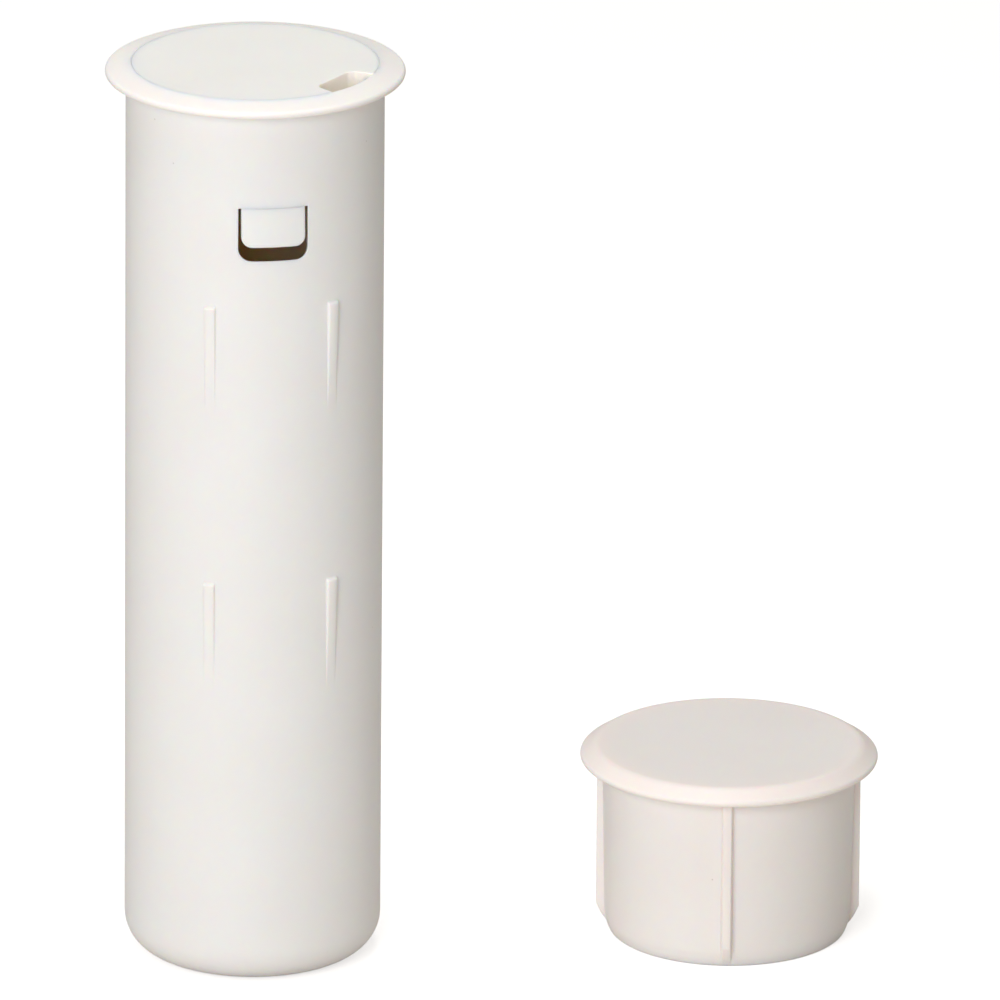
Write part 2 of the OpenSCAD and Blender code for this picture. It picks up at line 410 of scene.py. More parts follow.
# Mesh columns either side of a rib's middle, and mesh rows measured from its upper end.
RIB_COLUMNS = (0, 0.9, 1.3, 1.5, 1.62, 1.74, 1.86, 1.98, 2.2, 2.7)
RIB_ROWS = (-35.8, -35, -34.2, -32, -28, -22, -16, -10, -5, -2)
RIB_ROWS += (-0.9, -0.5, -0.35, -0.2, -0.05, 0.1, 0.25, 0.4, 1.2)
RIB_HALF_W_LOW, RIB_HALF_W_GAIN = 1.6, 0.25
WINDOW_SOFT = 0.3
WINDOW_TOP = HINGE_Z + 0.1
WINDOW_TOP_CORNER = 0.4
SILL_DROP, SILL_DROP_H = 1.0, 6.0


def signed_turn(azimuth, other):
    """Smallest turn from one azimuth to another, in degrees."""
    return (azimuth - other + 180) % 360 - 180


def canister_azimuths():
    """Azimuths from the window patch on round: even cells across it, then an even fan, closer at the ribs."""
    step = 2 * PATCH_HALF_ANGLE / PATCH_CELLS
    patch = [-90 - PATCH_HALF_ANGLE + step * i for i in range(PATCH_CELLS + 1)]
    ribs = [
        rib + sign * math.degrees(s / TUBE_R)
        for rib in RIB_AZIMUTHS
        for s in RIB_COLUMNS
        for sign in ((1,) if s == 0 else (-1, 1))
    ]
    clear_of_ribs = math.degrees(RIB_COLUMNS[-1] / TUBE_R) + 1.2
    even = [
        a
        for a in np.arange(-180, 180, 2.5)
        if abs(signed_turn(a, -90)) > PATCH_HALF_ANGLE + 1.2
        and all(abs(signed_turn(a, rib)) > clear_of_ribs for rib in RIB_AZIMUTHS)
    ]
    start = patch[0]
    return sorted({round(start + (a - start) % 360, 6) for a in patch + ribs + even})


def rib_height(azimuth, z):
    """How far a rib lifts the wall: a wedge that grows to its square upper end."""
    s = min(abs(signed_turn(azimuth, rib)) for rib in RIB_AZIMUTHS) * math.radians(1) * TUBE_R
    height = 0.0
    for top in RIB_TOPS:
        climb = (z - (top - RIB_L)) / RIB_L
        if 0 < climb and z < top + 0.6:
            end = smoothstep((top + 0.4 - z) / 0.9)
            half = RIB_HALF_W_LOW + RIB_HALF_W_GAIN * min(climb, 1.0)
            dome = 1 - 0.3 * min(s / half, 1.0) ** 2
            height = RIB_PROUD * min(climb, 1.0) * end * dome * smoothstep((half + 0.12 - s) / 0.24)
    return height


def wall_rows():
    """Heights of the rows on the straight outer wall."""
    rows = list(np.linspace(BOTTOM_ROUND, RIB_TOPS[0] - RIB_L - 6, 10))
    rows += [RIB_TOPS[0] + dz for dz in RIB_ROWS]
    rows += list(np.linspace(RIB_TOPS[0] + 8, RIB_TOPS[1] - RIB_L - 6, 6))
    rows += [RIB_TOPS[1] + dz for dz in RIB_ROWS]
    rows += list(np.linspace(PATCH_LOW, PATCH_HIGH, PATCH_CELLS + 1))
    rows += list(np.linspace(PATCH_HIGH + 6, TOP_Z - FLANGE_DEPTH - FLANGE_FILLET, 4))
    return rows


def window_outline(half_w, low, high, corner, top_corner, grow):
    """Outline of a straight-topped opening, grown by grow, from the middle of its lower left corner on."""
    corners = [
        (-half_w + corner, low + corner, corner, 180),
        (half_w - corner, low + corner, corner, 270),
        (half_w - top_corner, high - top_corner, top_corner, 0),
        (-half_w + top_corner, high - top_corner, top_corner, 90),
    ]
    steps = PATCH_CELLS // 2
    points = []
    for k, (x, z, radius, start) in enumerate(corners):
        points += arc((x, z), radius + grow, start, start + 90, steps + 1)
        x2, z2, radius2, start2 = corners[(k + 1) % 4]
        last, following = points[-1], arc((x2, z2), radius2 + grow, start2, start2, 1)[0]
        points += [between(last, following, i / steps) for i in range(1, steps)]
    half = steps // 2
    return points[half:] + points[:half]


def on_front(radius, x, z, depth=0.0):
    """The point at x and z on the front of a cylinder, set back by depth."""
    return (x, -math.sqrt(radius * radius - x * x) + depth, z)


def patch_border(rings, low_row, columns):
    """The border of the patch left open in a wall, from its lower left corner rightwards."""
    rows = rings[low_row : low_row + PATCH_CELLS + 1]
    bottom = [rows[0][c] for c in range(columns)]
    right = [row[columns] for row in rows[:-1]]
    top = [rows[-1][c] for c in range(columns, 0, -1)]
    left = [row[0] for row in reversed(rows[1:])]
    return bottom + right + top + left


def towards_window(shell, border, radius, outline):
    """Rings that close in from the patch border to the window's outline on one face of the wall."""
    rings = [border]
    for t in (0.3, 0.55, 0.75, 0.88, 0.96):
        ring = []
        for i, (x, z) in zip(border, outline):
            bx, _, bz = shell.points[i]
            ring.append(on_front(radius, bx + (x - bx) * t, bz + (z - bz) * t))
        rings.append(shell.ring(ring))
    rings.append(shell.ring([on_front(radius, x, z) for x, z in outline]))
    return rings


def canister_profile(rows):
    """Radius and height along the canister's cut half: up the outside, over the flange, down the inside.

    With it come the numbers of the outer wall's first row and of the inner row at the patch's upper edge.
    """
    rim = (FLANGE_R - FLANGE_RIM_R, TOP_Z - FLANGE_DEPTH + FLANGE_RIM_R)
    slope = math.degrees(math.atan2(FLANGE_DEPTH - 2 * FLANGE_RIM_R, rim[0] - RECESS_R))
    underside = TOP_Z - FLANGE_DEPTH
    corner = (TUBE_R - BOTTOM_ROUND, BOTTOM_ROUND)

    profile = [(10, 0), (20, 0)] + arc(corner, BOTTOM_ROUND, -90, 0, 15)[:-1]
    first_row = len(profile)
    profile += [(TUBE_R, z) for z in rows]
    profile += arc((TUBE_R + FLANGE_FILLET, underside - FLANGE_FILLET), FLANGE_FILLET, 180, 90, 5)[1:]
    profile += [(rim[0] - 1.5, underside)]
    profile += arc(rim, FLANGE_RIM_R, -90, 90 - slope, 9)
    touch = profile[-1]
    profile += [between(touch, (RECESS_R, TOP_Z), t) for t in (0.25, 0.5, 0.75)]
    lip = ((0.2, 0.03), (0.08, 0.05), (0.01, 0.1))
    profile += [(RECESS_R + out, TOP_Z - down) for out, down in lip]
    profile += [(RECESS_R, LEDGE_Z + 0.4), (RECESS_R, LEDGE_Z)]
    profile += [(BORE_R + 0.15, LEDGE_Z), (BORE_R, LEDGE_Z - 0.15), (BORE_R, 280.0), (BORE_R, 272.0)]

    inner_high = len(profile)
    inner_rows = list(np.linspace(PATCH_HIGH, PATCH_LOW, PATCH_CELLS + 1))
    inner_rows += list(np.linspace(PATCH_LOW - 12, BOTTOM_ROUND + 12, 14))
    profile += [(BORE_R, z) for z in inner_rows]
    profile += arc(corner, BOTTOM_ROUND - WALL, 0, -90, 9)
    profile += [(20, WALL), (10, WALL)]
    return profile, first_row, inner_high


def close_window(shell, outside, inside):
    """The wall between the open patches' borders and the window, and the window's rounded edges."""
    sizes = (WINDOW_HALF_W, WINDOW_LOW, WINDOW_TOP, WINDOW_CORNER, WINDOW_TOP_CORNER)
    outline = window_outline(*sizes, 0.0)
    softness = [0.5 if z > WINDOW_TOP - 0.2 else 1.0 for x, z in outline]
    wider = window_outline(*sizes, WINDOW_SOFT)
    grown = [between(sharp, soft, share) for sharp, soft, share in zip(outline, wider, softness)]
    # The sill falls away towards the inside, so that the window's edge is thin where it is seen.
    relief = [SILL_DROP * (1.0 - smoothstep((z - WINDOW_LOW) / SILL_DROP_H)) for x, z in outline]
    inner_outline = [(x, z - drop) for (x, z), drop in zip(outline, relief)]
    inner_grown = [(x, z - drop) for (x, z), drop in zip(grown, relief)]
    outer_rings = towards_window(shell, outside, TUBE_R, grown)
    inner_rings = towards_window(shell, inside, BORE_R, inner_grown)
    faces = ((outer_rings, TUBE_R, 1, outline, grown), (inner_rings, BORE_R, -1, inner_outline, inner_grown))
    for rings, radius, side, edge, wide in faces:
        for phi in np.radians((22, 45, 68, 90)):
            ring = []
            for sharp, soft, share in zip(edge, wide, softness):
                depth = side * WINDOW_SOFT * share * (1 - math.cos(phi))
                ring.append(on_front(radius, *between(sharp, soft, 1 - math.sin(phi)), depth))
            rings.append(shell.ring(ring))
    shell.loft(outer_rings + inner_rings[::-1])


def canister_shell(material):
    shell = Shell()
    azimuths, rows = canister_azimuths(), wall_rows()
    profile, first_row, inner_high = canister_profile(rows)
    rings = [
        shell.ring([polar(r + (rib_height(a, z) if r == TUBE_R else 0.0), a, z) for a in azimuths])
        for r, z in profile
    ]
    outer_low = first_row + rows.index(PATCH_LOW)
    open_rows = {first + k for first in (outer_low, inner_high) for k in range(PATCH_CELLS)}
    for k, (a, b) in enumerate(zip(rings, rings[1:])):
        shell.bridge(a, b, skip=range(PATCH_CELLS) if k in open_rows else ())
    shell.cap(rings[0])
    shell.cap(rings[-1])

    outside = patch_border(rings, outer_low, PATCH_CELLS)
    inside_rows = rings[inner_high : inner_high + PATCH_CELLS + 1][::-1]
    close_window(shell, outside, patch_border(inside_rows, 0, PATCH_CELLS))
    return shell.build("canister_shell", material)


# ---- Spring tongue ---------------------------------------------------------------------------------------


def tongue_leaf(material):
    """A tab of the wall, cut free on three sides, that leans out from a thin crease along its top."""
    shell = Shell()
    soft, crease, columns = 0.5, 0.25, 20
    low, high = HINGE_Z - TONGUE_L, WINDOW_TOP
    inner_r = TUBE_R - TONGUE_T

    def lean(point):
        """Turns a point out about the hinge, gently over the first stretch of the leaf."""
        x, y, z = point
        angle = math.radians(TONGUE_LEAN) * smoothstep((HINGE_Z - z) / TONGUE_BEND)
        c, s = math.cos(angle), math.sin(angle)
        dy, dz = y - HINGE_Y, z - HINGE_Z
        return (x, HINGE_Y + dy * c + dz * s, HINGE_Z - dy * s + dz * c)

    def set_back(inset, radius):
        """How deep an edge rounded to this radius lies, at a distance in from the outline."""
        return radius - math.sqrt(radius**2 - max(0.0, radius - inset) ** 2)

    def half_width(z, inset):
        corner = TONGUE_CORNER - inset
        rise = min(max(0.0, low + TONGUE_CORNER - z), corner)
        return TONGUE_HALF_W - TONGUE_CORNER + math.sqrt(corner**2 - rise**2)

    def section(z):
        """The leaf cut across at one height: the front from left to right, then the back."""
        reach = min(soft, z - low)
        side = [(half_width(z, inset), set_back(inset, soft)) for inset in np.linspace(reach, 0, 6)]
        width, depth = side[0]
        face = [(width * u, depth) for u in np.linspace(-1, 1, columns + 1)[1:-1]]
        front = [(-x, d) for x, d in reversed(side)] + face + side
        top = set_back(high - z, crease)
        points = [on_front(TUBE_R, x, z, d + top) for x, d in front]
        points += [on_front(inner_r, x, z, -d - top) for x, d in reversed(front)]
        return [lean(point) for point in points]

    rows = [low + soft * t for t in (0.04, 0.12, 0.25, 0.42, 0.65)]
    rows += list(np.linspace(low + soft, low + TONGUE_CORNER, 9))
    rows += list(np.linspace(low + TONGUE_CORNER, HINGE_Z - 2, 8))[1:]
    rows += list(np.linspace(HINGE_Z - 2, high - crease, 9))[1:]
    rows += [high - crease * t for t in (0.6, 0.3, 0.1, 0.0)]
    rings = [shell.ring(section(z)) for z in rows]
    shell.loft(rings)
    for ring in (rings[0], rings[-1]):
        for i in range(len(ring) // 2 - 1):
            shell.faces.append((ring[i], ring[i + 1], ring[-2 - i], ring[-1 - i]))
    return shell.build("tongue_leaf", material)


# ---- Lid -------------------------------------------------------------------------------------------------


def notch_side(grow):
    """How far the line along the notch's side passes from the lid's axis, moved out by grow."""
    flare = math.radians(NOTCH_FLARE)
    return NOTCH_HALF_W * math.cos(flare) - NOTCH_R * math.sin(flare) + grow


def notch_reach(radius, grow=0.0):
    """Azimuth at which the notch's side, moved out by grow, crosses a circle about the lid's axis."""
    return NOTCH_FLARE + math.degrees(math.asin(notch_side(grow) / radius))


def lid_outline():
    """The plate's outline, notch towards +X: (point, normal, soft edge width and drop, in the notch)."""
    convex, concave = 0.5, 3.2
    width, drop = 0.35, 0.25
    flare = math.radians(NOTCH_FLARE)
    into = np.array((-math.sin(flare), math.cos(flare)))
    reach = notch_reach(LID_R - convex, convex)
    centre = np.array(polar(LID_R - convex, reach, 0)[:2])
    inner = np.array((NOTCH_R + concave, NOTCH_HALF_W - concave * (1 + into[0]) / into[1]))

    rim = []
    for a in np.linspace(reach, 360 - reach, 181)[1:-1]:
        x, y, _ = polar(1.0, a, 0)
        band = smoothstep((min(a - reach, 360 - reach - a) - 0.5) / 4.0)
        rim.append(((LID_R * x, LID_R * y), (x, y), width + 0.9 * band, drop - 0.17 * band, False))

    side = []

    def corner(middle, radius, start, end, inward):
        for a in np.linspace(start, end, 9):
            x, y, _ = polar(1.0, a, 0)
            normal = (-x, -y) if inward else (x, y)
            side.append(((middle[0] + radius * x, middle[1] + radius * y), normal, width, drop, True))

    corner(inner, concave, 180, 90 + NOTCH_FLARE, True)
    first, last = inner + concave * into, centre - convex * into
    for t in np.linspace(0, 1, 6)[1:-1]:
        side.append((between(first, last, t), tuple(-into), width, drop, True))
    corner(centre, convex, NOTCH_FLARE - 90, reach, False)
    chord = [((NOTCH_R, y), (1, 0), width, drop, True) for y in np.linspace(-inner[1], inner[1], 12)[1:-1]]
    mirrored = [((x, -y), (nx, -ny), w, d, notch) for (x, y), (nx, ny), w, d, notch in reversed(side)]
    return rim + mirrored + chord + side


def behind_skirt(x, y):
    """The point itself, or the point below it on the skirt's outer face."""
    pull = min(1.0, SKIRT_R / math.hypot(x, y))
    return x * pull, y * pull


def lid_plate(material):
    shell = Shell()
    outline = lid_outline()
    under = TOP_Z - LID_T

    def edge(phi):
        """A ring of the rounded upper edge."""
        inset, drop = 1 - math.sin(math.radians(phi)), 1 - math.cos(math.radians(phi))
        return shell.ring(
            (p[0] - n[0] * width * inset, p[1] - n[1] * width * inset, TOP_Z - depth * drop)
            for p, n, width, depth, _ in outline
        )

    def below(rim_inset, rim_z, wall_inset, wall_z, depth, bounded=True):
        """A ring below the upper edge: one inset and height on the rim, others on the notch's wall."""
        points, uvs = [], []
        for p, n, _, _, notch in outline:
            inset, z = (wall_inset, wall_z) if notch else (rim_inset, rim_z)
            x, y = p[0] - n[0] * inset, p[1] - n[1] * inset
            points.append((*(behind_skirt(x, y) if notch and bounded else (x, y)), z))
            # The map's first coordinate carries the share of painted shade on the notch's walls.
            uvs.append((depth if notch else 0.0, 0.0))
        return shell.ring(points, uvs)

    foot = NOTCH_FLOOR - 0.9
    rings = [edge(phi) for phi in (0, 15, 30, 45, 60, 75, 90)]
    # The last number of each ring below is its share of painted shade on the notch's wall: some near the top,
    # all of it at the foot of the wall's face.
    rings.append(below(0.0, under + 0.3, 0.0, under + 0.1, 0.3, bounded=False))
    rings.append(below(0.05, under + 0.15, 0.0, under - 0.05, 0.3))
    rings.append(below(0.15, under + 0.05, 0.0, foot, 1.0))
    rings.append(below(0.3, under, POCKET_WALL, foot, 0.0))
    rings.append(below(0.5, under, POCKET_WALL + 0.05, under, 0.0))
    shell.loft(rings)
    shell.cap(rings[0])
    shell.cap(rings[-1])
    lid_skirt(shell, under)
    lid_pocket_floor(shell)
    return shell.build("lid_plate", material, turn=NOTCH_AZIMUTH)


def lid_skirt(shell, under):
    """The ring below the plate, cut down where the notch passes over it."""
    inner_r, low = SKIRT_R - SKIRT_T, under - SKIRT_H
    edge = notch_reach(SKIRT_R)
    azimuths = list(np.linspace(-edge, edge, 13)) + list(np.linspace(edge + 0.4, 360 - edge - 0.4, 140))
    section = [(inner_r, 0), (inner_r + 0.3, -0.3), (SKIRT_R - 0.3, -0.3)]
    section += [(SKIRT_R, 0), (SKIRT_R, 1), (inner_r, 1)]
    rings = []
    for r, part in section:
        ring = []
        for a in azimuths:
            high = NOTCH_FLOOR - 0.4 if a <= edge else under + 0.3
            ring.append(polar(r, a, low + 0.3 + part if part <= 0 else high))
        rings.append(shell.ring(ring))
    shell.loft(rings + rings[:1])


def lid_pocket_floor(shell):
    """The floor of the finger notch, out to just behind the skirt's outer face."""
    back, outer_r = NOTCH_R - POCKET_WALL, SKIRT_R - 0.05
    flare = math.radians(NOTCH_FLARE)
    half = (notch_side(POCKET_WALL) + back * math.sin(flare)) / math.cos(flare)
    reach = notch_reach(outer_r, POCKET_WALL - 0.05)
    outline = [polar(outer_r, a, 0)[:2] for a in np.linspace(-reach, reach, 21)]
    outline += [(back, half), (back, -half)]
    low, high = NOTCH_FLOOR - POCKET_WALL, NOTCH_FLOOR
    # The floor's upper face gets the full painted shade of the notch, its lower face none.
    rings = [
        shell.ring([(x, y, z) for x, y in outline], [(depth, 0.0)] * len(outline))
        for z, depth in ((low, 0.0), (high, 1.0))
    ]
    shell.loft(rings)
    shell.cap(rings[0])
    shell.cap(rings[1])


# ---- Blanket ---------------------------------------------------------------------------------------------

CLOTH = 1000.0
LAYERS = 5
STRIP_W = CLOTH / LAYERS
CLOTH_T = 0.42
LAYER_STEP = 0.64
ROLL_CORE_R = 3.2
ROLL_OUTER_R = 32.6
ROLL_END = -62.0
HEM_START = CLOTH * 0.985
ROLL_FOOT_ROUND = 7.0
ROLL_FOOT_R = 27.5


def roll_foot(radius):
    """How far the roll's lower edge is lifted by the canister's rounded inside corner."""
    over = min(max(0.0, radius - ROLL_FOOT_R), ROLL_FOOT_ROUND - 0.1)
    return ROLL_FOOT_ROUND - math.sqrt(ROLL_FOOT_ROUND**2 - over**2)


def folded_section():
    """The cloth across its width, folded to and fro: (layer, share of the height, place on the flat)."""
    section = []
    for layer in range(LAYERS):
        shares = np.linspace(0.004, 0.996, 8)
        if layer % 2:
            shares = shares[::-1]
        for share, along in zip(shares, np.linspace(0, 1, 8)):
            section.append((layer, share, (layer + along) * STRIP_W))
        if layer < LAYERS - 1:
            end = 0.996 if layer % 2 == 0 else 0.004
            bulge = 0.0022 if layer % 2 == 0 else -0.0022
            for part in (0.2, 0.5, 0.8):
                offset = layer + (1 - math.cos(part * math.pi)) / 2
                section.append((offset, end + bulge * math.sin(part * math.pi), (layer + 1) * STRIP_W))
    return section


def roll_path():
    """The roll seen from above: (radius, azimuth, length so far) along the cloth's middle layer."""
    pitch = math.pi * (ROLL_OUTER_R**2 - ROLL_CORE_R**2) / CLOTH
    turns = (ROLL_OUTER_R - ROLL_CORE_R) / pitch
    count = int(turns * 60)
    path, length, before = [], 0.0, None
    for i in range(count + 1):
        t = i / count
        radius, azimuth = ROLL_CORE_R + (ROLL_OUTER_R - ROLL_CORE_R) * t, 360 * turns * (t - 1) + ROLL_END
        here = np.array(polar(radius, azimuth, 0)[:2])
        length += 0.0 if before is None else float(np.linalg.norm(here - before))
        path.append((radius, azimuth, length))
        before = here
    return path


def roll_point(radius, azimuth, offset, share):
    """A point of the rolled cloth, with the slight waves of a hand-rolled blanket."""
    low = ROLL_LOW[2] + 0.4 + roll_foot(radius + offset * LAYER_STEP)
    angle = math.radians(azimuth)
    uneven = 0.9 * math.sin(angle * 0.71) + 0.5 * math.sin(angle * 1.93 + offset)
    high = ROLL_HIGH[2] - 1.6 + uneven
    z = low + (high - low) * share
    ripple = 0.22 * math.sin(5 * angle + z / 31) * (radius / ROLL_OUTER_R) ** 2
    return polar(radius + offset * LAYER_STEP + ripple, azimuth, z)


def solidify(piece, thickness):
    modifier = piece.modifiers.new("thickness", "SOLIDIFY")
    modifier.thickness = thickness * MM
    modifier.offset = 0.0
    modifier.use_even_offset = False


def blanket_cloth(material):
    shell = Shell()
    section = folded_section()
    middle = (LAYERS - 1) / 2
    rings = []
    for radius, azimuth, length in roll_path():
        points = [roll_point(radius, azimuth, layer - middle, share) for layer, share, _ in section]
        rings.append(shell.ring(points, [(length * MM, flat * MM) for _, _, flat in section]))
    shell.loft(rings, closed=False)
    piece = shell.build("blanket_cloth", material, closed=False)
    solidify(piece, CLOTH_T)
    return piece


def blanket_hem(material):
    """The turned hem along the blanket's free end, laid over its outer layer."""
    shell = Shell()
    path = [p for p in roll_path() if p[2] > HEM_START]
    offset = (LAYERS - 1) / 2 + 0.62
    rings = []
    for radius, azimuth, length in path:
        points = [roll_point(radius, azimuth, offset, share) for share in np.linspace(0.01, 0.99, 24)]
        uvs = [(length * MM, share * STRIP_W * MM) for share in np.linspace(0.01, 0.99, 24)]
        rings.append(shell.ring(points, uvs))
    shell.loft(rings, closed=False)
    piece = shell.build("blanket_hem", material, closed=False)
    solidify(piece, 0.3)
    return piece


def add_stitch(shell, start, end, out, radius=0.22):
    """One short stitch between two points, arched a little along out."""
    start, end, out = Vector(start), Vector(end), Vector(out).normalized()
    along = (end - start).normalized()
    side = along.cross(out)
    rings = []
    for t, size in ((0.0, 0.25), (0.12, 0.8), (0.35, 1.0), (0.65, 1.0), (0.88, 0.8), (1.0, 0.25)):
        middle = start.lerp(end, t) + out * (0.16 * math.sin(math.pi * t))
        ring = []
        for k in range(8):
            a = math.radians(45 * k)
            ring.append(middle + (out * math.sin(a) + side * math.cos(a)) * radius * size)
        rings.append(shell.ring(ring))
    shell.loft(rings)
    shell.cap(rings[0])
    shell.cap(rings[-1])


def hem_stitches(material):
    shell = Shell()
    path = [p for p in roll_path() if p[2] > HEM_START]
    radius, azimuth, _ = path[len(path) // 3]
    offset = (LAYERS - 1) / 2 + 0.9
    pitch, length = 4.0, 2.7
    height = ROLL_HIGH[2] - ROLL_LOW[2] - 14
    for i in range(int(height / pitch)):
        shares = [(8 + pitch * i) / height, (8 + pitch * i + length) / height]
        if shares[1] < 0.97:
            start, end = (roll_point(radius, azimuth, offset, share) for share in shares)
            add_stitch(shell, start, end, polar(1.0, azimuth, 0.0), 0.18)
    return shell.build("hem_stitches", material)


TAPE_ROOT_X = 16.0
TAPE_BEND_R = 14.0
TAPE_BEND = 70.0
TAPE_LEG = 4.0
STRAND_T = 1.1
STRAND_GAP = 0.65


def tape_path():
    """One strand's middle line in X and Z, up the outer side, round the loop's end and back down."""
    top = ROLL_HIGH[2]
    root = top - 3.0

    def strand(offset):
        bend = (TAPE_ROOT_X - TAPE_BEND_R, top + TAPE_LEG)
        leg = [(TAPE_ROOT_X + offset, z) for z in np.linspace(root, top + TAPE_LEG, 6)[:-1]]
        return leg + arc(bend, TAPE_BEND_R + offset, 0, TAPE_BEND - 4, 16)

    up, down = strand(STRAND_GAP), strand(-STRAND_GAP)
    bend = (TAPE_ROOT_X - TAPE_BEND_R, top + TAPE_LEG)
    tip = arc(bend, TAPE_BEND_R, TAPE_BEND - 4, TAPE_BEND - 4, 1)[0]
    loop = arc(tip, STRAND_GAP, TAPE_BEND - 4, TAPE_BEND - 4 + 180, 9)[1:-1]
    return up + loop + down[::-1]


def pull_tape(name, side, material):
    """A flattened loop of webbing that stands out of the roll and bends over its centre."""
    shell = Shell()
    path = [Vector((x, 0, z)) for x, z in tape_path()]
    half, thick = (TAPE_HIGH[1] - TAPE_LOW[1]) / 2, STRAND_T / 2
    turns = np.radians(np.linspace(-90, 90, 7))
    section = [(half - 0.5 + 0.5 * math.cos(a), thick * math.sin(a)) for a in turns]
    section += [(y, thick) for y in np.linspace(half - 0.5, -half + 0.5, 8)[1:-1]]
    section += [(-y, -n) for y, n in section]
    rings, length = [], 0.0
    for i, here in enumerate(path):
        ahead = path[min(i + 1, len(path) - 1)] - path[max(i - 1, 0)]
        normal = Vector((ahead.z, 0, -ahead.x)).normalized()
        length += (here - path[i - 1]).length if i else 0.0
        sag = 0.12 * math.sin(length / 5)
        points = [here + normal * (n + sag * (y / half) ** 2) + Vector((0, y, 0)) for y, n in section]
        uvs = [((y + half) * MM, length * MM) for y, _ in section]
        rings.append(shell.ring([(side * p.x, p.y, p.z) for p in points], uvs))
    shell.loft(rings)
    shell.cap(rings[0])
    shell.cap(rings[-1])
    return shell.build(name, material)


def tape_stitches(name, side, material):
    """Two rows of stitches across the root of a tape, on both of its faces."""
    shell = Shell()
    top = ROLL_HIGH[2]
    for z in (top + 2.2, top + 5.0):
        for face in (1, -1):
            x = side * (TAPE_ROOT_X + face * (STRAND_GAP + STRAND_T / 2 + 0.04))
            for i in range(7):
                y = -9.9 + 3.0 * i
                add_stitch(shell, (x, y, z), (x, y + 2.0, z), (side * face, 0, 0), 0.2)
    return shell.build(name, material)


# ---- Blanking plug ---------------------------------------------------------------------------------------

PLUG_FLANGE_RIM_R = 1.2
PLUG_DISC_R = 41.9
PLUG_DISC_SOFT = 4.5
PLUG_FILLET = 0.8
PLUG_SKIRT_TOP_R, PLUG_SKIRT_LOW_R = 39.55, 38.5
PLUG_SKIRT_LOW_Z = 5.0
PLUG_WALL = 2.6
PLUG_RIB_R = 41.3
PLUG_RIB_END, PLUG_RIB_FOOT = 7.6, 1.5
PLUG_RIB_AZIMUTHS = (0, 90, 180, 270)
PLUG_RIB_COLUMNS = (0, 0.6, 1.0, 1.2, 1.35, 1.5, 1.65, 1.8, 2.1, 2.6)


def plug_profile():
    """Radius and height along the plug's cut half: the disc, the flange, down the skirt and up inside."""
    under, ceiling = PLUG_H - PLUG_FLANGE_DEPTH, PLUG_H - PLUG_WALL
    rim = (PLUG_FLANGE_R - PLUG_FLANGE_RIM_R, under + PLUG_FLANGE_RIM_R)
    slope = math.degrees(math.atan2(PLUG_H - under - 2 * PLUG_FLANGE_RIM_R, rim[0] - PLUG_DISC_R))
    back = PLUG_DISC_SOFT * math.tan(math.radians(slope / 2))
    profile = [(12, PLUG_H), (24, PLUG_H), (34, PLUG_H), (PLUG_DISC_R - back - 1.5, PLUG_H)]
    profile += arc((PLUG_DISC_R - back, PLUG_H - PLUG_DISC_SOFT), PLUG_DISC_SOFT, 90, 90 - slope, 9)
    profile += arc(rim, PLUG_FLANGE_RIM_R, 90 - slope, -90, 11)
    profile += [(42.6, under)]
    profile += arc((PLUG_SKIRT_TOP_R + PLUG_FILLET, under - PLUG_FILLET), PLUG_FILLET, 90, 180, 5)

    heights = [54.0, 53.0] + list(np.linspace(50, 10, 9)) + [7.6, 6.9, 6.5, 6.0, 5.4]
    taper = (PLUG_SKIRT_TOP_R - PLUG_SKIRT_LOW_R) / (under - PLUG_SKIRT_LOW_Z)
    profile += [(PLUG_SKIRT_LOW_R + taper * (z - PLUG_SKIRT_LOW_Z), z) for z in heights]
    foot = ((0.02, 4.8), (0.16, 4), (0.36, 3), (0.66, 2), (1.08, 1), (1.4, 0.4), (1.8, 0.08), (2.2, 0))
    profile += [(PLUG_SKIRT_LOW_R - inset, z) for inset, z in foot]

    inner_foot, inner_r = (PLUG_SKIRT_LOW_R - PLUG_WALL, 0.2), PLUG_SKIRT_TOP_R - PLUG_WALL
    profile += [(inner_foot[0] + 0.15, 0.0), inner_foot]
    profile += [between(inner_foot, (inner_r, ceiling - 0.6), t) for t in (0.25, 0.5, 0.75)]
    profile += arc((inner_r - 1, ceiling - 1), 1.0, 0, 90, 5)
    return profile + [(24, ceiling), (12, ceiling)]


def plug_azimuths():
    """Azimuths about the plug's axis: an even fan, closer at the ribs."""
    ribs = {
        round((rib + sign * math.degrees(s / PLUG_SKIRT_TOP_R)) % 360, 6)
        for rib in PLUG_RIB_AZIMUTHS
        for s in PLUG_RIB_COLUMNS
        for sign in (-1, 1)
    }
    even = {
        a
        for a in np.arange(0, 360, 2.5)
        if all(abs(signed_turn(a, rib)) > 5.2 for rib in PLUG_RIB_AZIMUTHS)
    }
    return sorted(ribs | even)


def plug_radius(r, z, azimuth):
    """Radius with the ribs, which run down the skirt and fade into its lower edge."""
    s = min(abs(signed_turn(azimuth, rib)) for rib in PLUG_RIB_AZIMUTHS) * math.radians(1) * PLUG_SKIRT_TOP_R
    on_skirt = PLUG_SKIRT_LOW_R - 1.2 < r < PLUG_RIB_R and 0.5 < z < PLUG_H - PLUG_FLANGE_DEPTH - 0.01
    if not on_skirt or s > PLUG_RIB_COLUMNS[-1]:
        return r
    fade = min(1.0, max(0.0, (z - PLUG_RIB_FOOT) / (PLUG_RIB_END - PLUG_RIB_FOOT)))
    return r + (PLUG_RIB_R - r) * smoothstep((1.8 - s) / 0.6) * fade


def plug_shell(material):
    shell = Shell()
    azimuths = plug_azimuths()
    rings = [shell.ring([polar(plug_radius(r, z, a), a, z) for a in azimuths]) for r, z in plug_profile()]
    shell.loft(rings)
    shell.cap(rings[0])
    shell.cap(rings[-1])
    return shell.build("plug_shell", material, turn=PLUG_AZIMUTH, shift=(PLUG_X, PLUG_Y))


